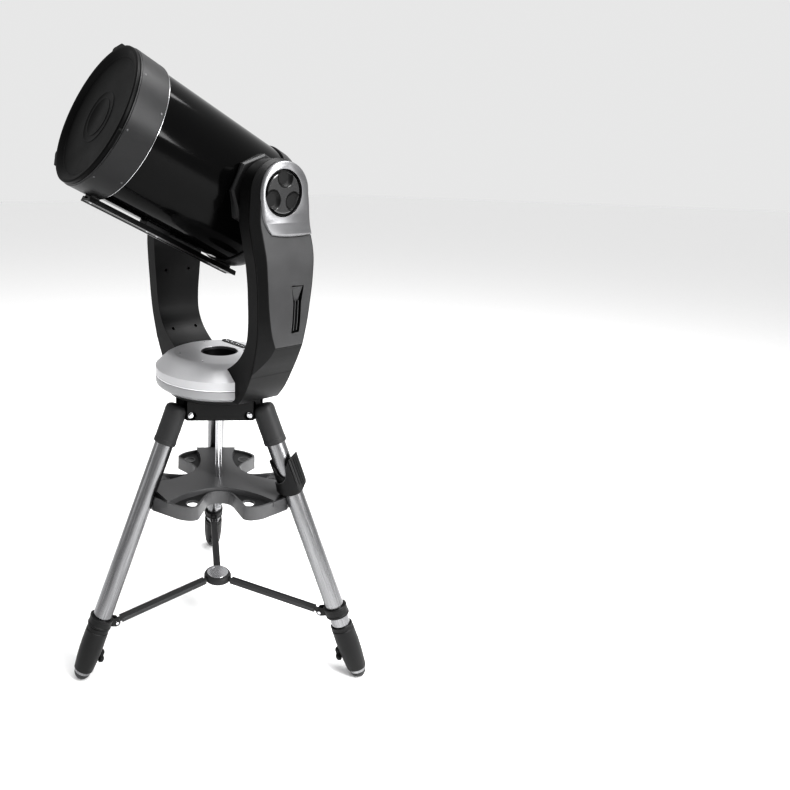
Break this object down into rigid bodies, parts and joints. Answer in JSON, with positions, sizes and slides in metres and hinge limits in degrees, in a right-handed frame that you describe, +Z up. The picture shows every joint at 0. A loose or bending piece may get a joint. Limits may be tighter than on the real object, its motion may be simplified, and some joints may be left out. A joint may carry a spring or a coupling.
{
  "type": "schmidt-cassegrain telescope",
  "caption": "Short wide reflecting telescope on a motorised two-arm fork mount and a steel field tripod with an accessory tray.",
  "frame": {"origin": "on the ground, under the middle of the whole telescope's bounding box", "axes": "+Z up; the tube points along -Y and upwards; the arm with the clutch knob is on the +X side"},
  "size_m": [0.7862, 0.7016, 1.5974],
  "materials": {
    "gloss_black": "gloss",
    "satin_black": "satin",
    "matt_black": "matte",
    "black_casting": "satin",
    "grey_casting": "satin",
    "black_plastic": "satin",
    "dark_grey_plastic": "satin",
    "mid_grey_plastic": "matte",
    "silver_plastic": "satin",
    "steel": "satin",
    "tube_paint": "gloss",
    "brass": "satin",
    "clear_glass": "polished",
    "mirror_coat": "polished",
    "rubber": "matte"
  },
  "bodies": {
    "tripod": {"leg_yoke_1": "dark_grey_plastic", "leg_pivot_bolt_1": "steel", "upper_leg_tube_1": "steel", "spreader_collar_1": "black_plastic", "leg_clamp_boot_1": "black_plastic", "spreader_bar_1": "satin_black", "leg_yoke_2": "dark_grey_plastic", "leg_pivot_bolt_2": "steel", "upper_leg_tube_2": "steel", "spreader_collar_2": "black_plastic", "leg_clamp_boot_2": "black_plastic", "spreader_bar_2": "satin_black", "leg_yoke_3": "dark_grey_plastic", "leg_pivot_bolt_3": "steel", "upper_leg_tube_3": "steel", "spreader_collar_3": "black_plastic", "leg_clamp_boot_3": "black_plastic", "spreader_bar_3": "satin_black", "tripod_head": "black_casting", "support_rod": "steel", "spreader_hub": "dark_grey_plastic", "leg_holder": "black_plastic", "base_pan": "black_casting", "azimuth_wheel": "brass"},
    "lower_leg_1": {"inner_leg_1": "steel"},
    "lower_leg_2": {"inner_leg_2": "steel"},
    "lower_leg_3": {"inner_leg_3": "steel"},
    "leg_clamp_1": {"leg_clamp_knob_1": "black_plastic"},
    "leg_clamp_2": {"leg_clamp_knob_2": "black_plastic"},
    "leg_clamp_3": {"leg_clamp_knob_3": "black_plastic"},
    "tray": {"accessory_tray": "mid_grey_plastic"},
    "tray_nut": {"tray_knob": "black_plastic"},
    "turntable": {"drive_base": "silver_plastic", "base_cover": "silver_plastic", "port_panel": "black_plastic", "center_well": "matt_black", "azimuth_motor": "black_casting", "fork_arm_right": "black_casting", "fork_arm_left": "black_casting", "arm_shell_right": "dark_grey_plastic", "arm_shell_left": "dark_grey_plastic", "arm_cap_right": "silver_plastic", "arm_cap_left": "silver_plastic", "altitude_motor": "black_casting"},
    "rocker": {"power_switch": "matt_black"},
    "clutch": {"altitude_clutch_knob": "gloss_black"},
    "telescope": {"trunnion_right": "grey_casting", "trunnion_left": "grey_casting", "altitude_wheel": "brass", "optical_tube": "tube_paint", "front_cell": "grey_casting", "rear_cell": "grey_casting", "corrector_plate": "clear_glass", "secondary_mirror": "black_casting", "baffle_tube": "matt_black", "visual_back": "satin_black", "dovetail_rail": "black_casting"},
    "mirror": {"primary_mirror": "mirror_coat"},
    "focus": {"focus_knob": "rubber"},
    "cap": {"dust_cap": "matt_black"}
  },
  "joints": [
    {"name": "leg_1_extension", "type": "slide", "parent": "tripod", "child": "lower_leg_1", "axis": [-0.0137, -0.3921, -0.9198], "range_m": [0, 0.4]},
    {"name": "leg_2_extension", "type": "slide", "parent": "tripod", "child": "lower_leg_2", "axis": [0.3464, 0.1842, -0.9198], "range_m": [0, 0.4]},
    {"name": "leg_3_extension", "type": "slide", "parent": "tripod", "child": "lower_leg_3", "axis": [-0.3327, 0.2079, -0.9198], "range_m": [0, 0.4]},
    {"name": "leg_1_clamp_turn", "type": "hinge", "parent": "tripod", "child": "leg_clamp_1", "pos_m": [-0.02059, -0.27758, 0.04661], "axis": [-0.0321, -0.9193, 0.3923], "range_deg": [0, 720]},
    {"name": "leg_2_clamp_turn", "type": "hinge", "parent": "tripod", "child": "leg_clamp_2", "pos_m": [0.32599, 0.27707, 0.04661], "axis": [0.8122, 0.4318, 0.3923], "range_deg": [0, 720]},
    {"name": "leg_3_clamp_turn", "type": "hinge", "parent": "tripod", "child": "leg_clamp_3", "pos_m": [-0.32764, 0.29989, 0.04661], "axis": [-0.7801, 0.4874, 0.3923], "range_deg": [0, 720]},
    {"name": "tray_lower", "type": "slide", "parent": "tripod", "child": "tray", "axis": [0, 0, -1], "range_m": [0, 0.04]},
    {"name": "tray_knob_turn", "type": "hinge", "parent": "tray", "child": "tray_nut", "pos_m": [-0.00741, 0.09979, 0.43], "axis": [0, 0, 1], "range_deg": [0, 7200]},
    {"name": "azimuth_turn", "type": "hinge", "parent": "tripod", "child": "turntable", "pos_m": [-0.00741, 0.09979, 0.8], "axis": [0, 0, 1], "continuous": true},
    {"name": "power_switch_rock", "type": "hinge", "parent": "turntable", "child": "rocker", "pos_m": [0.03259, 0.16279, 0.852], "axis": [0, 1, 0], "range_deg": [0, 18]},
    {"name": "altitude_clutch_turn", "type": "hinge", "parent": "turntable", "child": "clutch", "pos_m": [0.23759, 0.09979, 1.276], "axis": [1, 0, 0], "range_deg": [0, 360]},
    {"name": "altitude_turn", "type": "hinge", "parent": "turntable", "child": "telescope", "pos_m": [-0.00741, 0.09979, 1.276], "axis": [-1, 0, 0], "range_deg": [-61.4, 63.6]},
    {"name": "focus_turn", "type": "hinge", "parent": "telescope", "child": "focus", "pos_m": [0.05459, 0.22177, 1.16186], "axis": [0, -0.8957, 0.4446], "range_deg": [-2700, 2700]},
    {"name": "mirror_shift", "type": "slide", "parent": "telescope", "child": "mirror", "axis": [0, -0.8957, 0.4446], "range_m": [-0.0056, 0.0056]},
    {"name": "dust_cap_pull", "type": "slide", "parent": "telescope", "child": "cap", "axis": [0, -0.8957, 0.4446], "range_m": [0, 0.06]}
  ],
  "couplings": [
    {"joint": "tray_knob_turn", "follows": "tray_lower", "rad_per_m": 3141.6},
    {"joint": "focus_turn", "follows": "mirror_shift", "rad_per_m": 8333.3}
  ]
}
